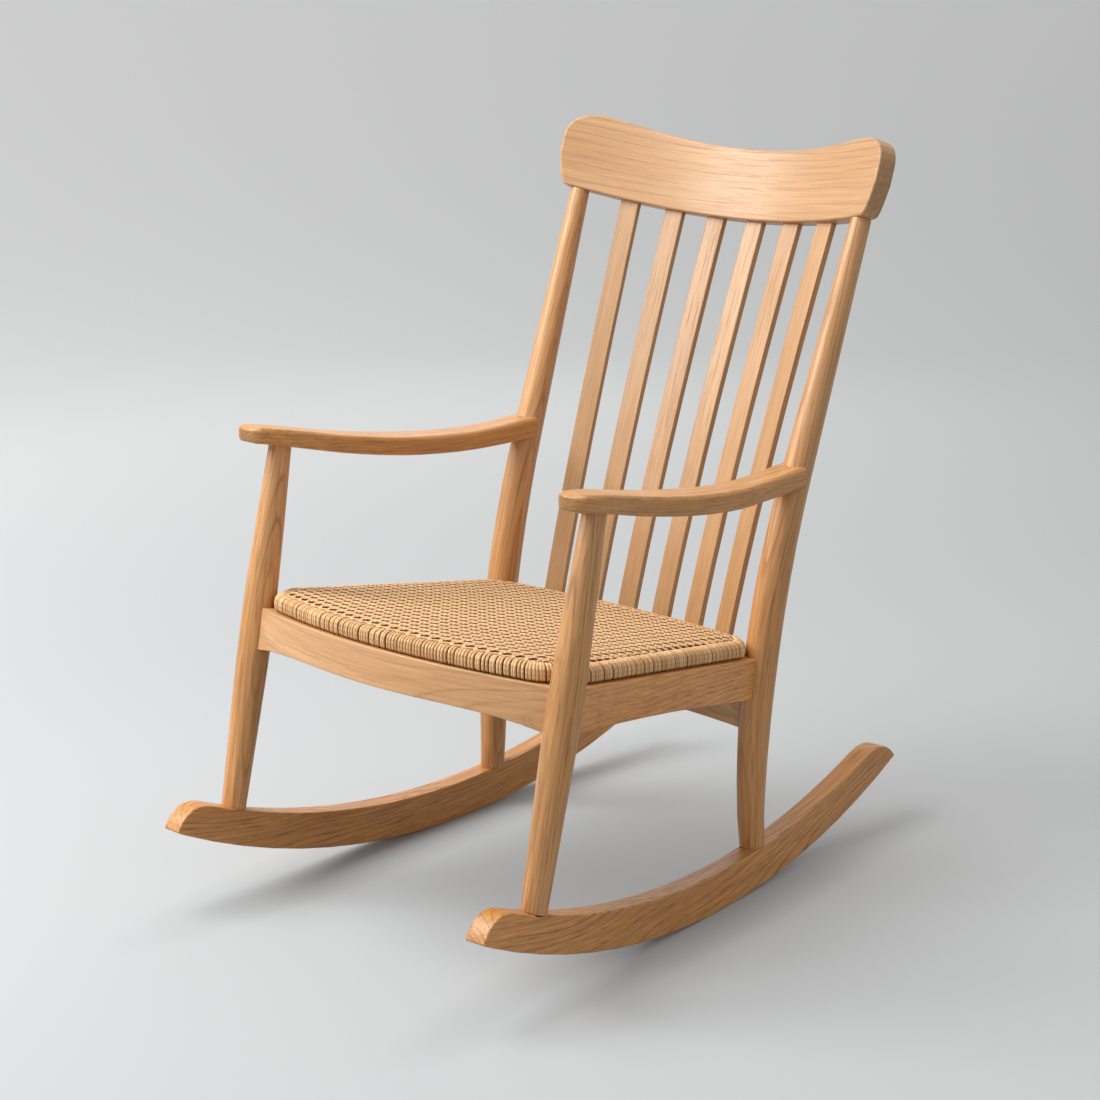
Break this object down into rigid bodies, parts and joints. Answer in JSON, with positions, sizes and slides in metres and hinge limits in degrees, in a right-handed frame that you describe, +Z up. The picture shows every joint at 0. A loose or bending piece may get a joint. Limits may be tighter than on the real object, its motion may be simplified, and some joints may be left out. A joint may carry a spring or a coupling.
{
  "type": "rocking chair",
  "caption": "Slat-back rocking chair in light oak with a curved crest rail, shaped arms, a woven cord seat and curved rockers.",
  "frame": {"origin": "bottom centre of the bounding box, on the floor between the two rockers", "axes": "+Z up, -Y the way the chair faces, +X the sitter's left"},
  "size_m": [0.613, 0.9574, 1.0173],
  "materials": {
    "light_oak": "satin, open grain along each member",
    "woven_cord": "matt twisted straw-coloured cord, wrapped at the border",
    "inner_wood": "plain sawn",
    "screw_steel": "zinc"
  },
  "bodies": {
    "root": {"left_rocker": "light_oak", "right_rocker": "light_oak", "left_front_leg": "light_oak", "right_front_leg": "light_oak", "left_back_post": "light_oak", "right_back_post": "light_oak", "left_arm": "light_oak", "right_arm": "light_oak", "left_side_rail": "light_oak", "right_side_rail": "light_oak", "front_rail": "light_oak", "rear_rail": "light_oak", "crest_rail": "light_oak", "left_arm_dowel": "inner_wood", "right_arm_dowel": "inner_wood", "seat_frame_front": "inner_wood", "seat_frame_rear": "inner_wood", "left_seat_frame_side": "inner_wood", "right_seat_frame_side": "inner_wood", "left_front_corner_block": "inner_wood", "right_front_corner_block": "inner_wood", "left_rear_corner_block": "inner_wood", "right_rear_corner_block": "inner_wood", "left_front_seat_screw": "screw_steel", "right_front_seat_screw": "screw_steel", "left_rear_seat_screw": "screw_steel", "right_rear_seat_screw": "screw_steel", "back_slat_4": "light_oak", "back_slat_3": "light_oak", "back_slat_5": "light_oak", "back_slat_2": "light_oak", "back_slat_6": "light_oak", "back_slat_1": "light_oak", "woven_seat": "woven_cord"}
  },
  "joints": []
}
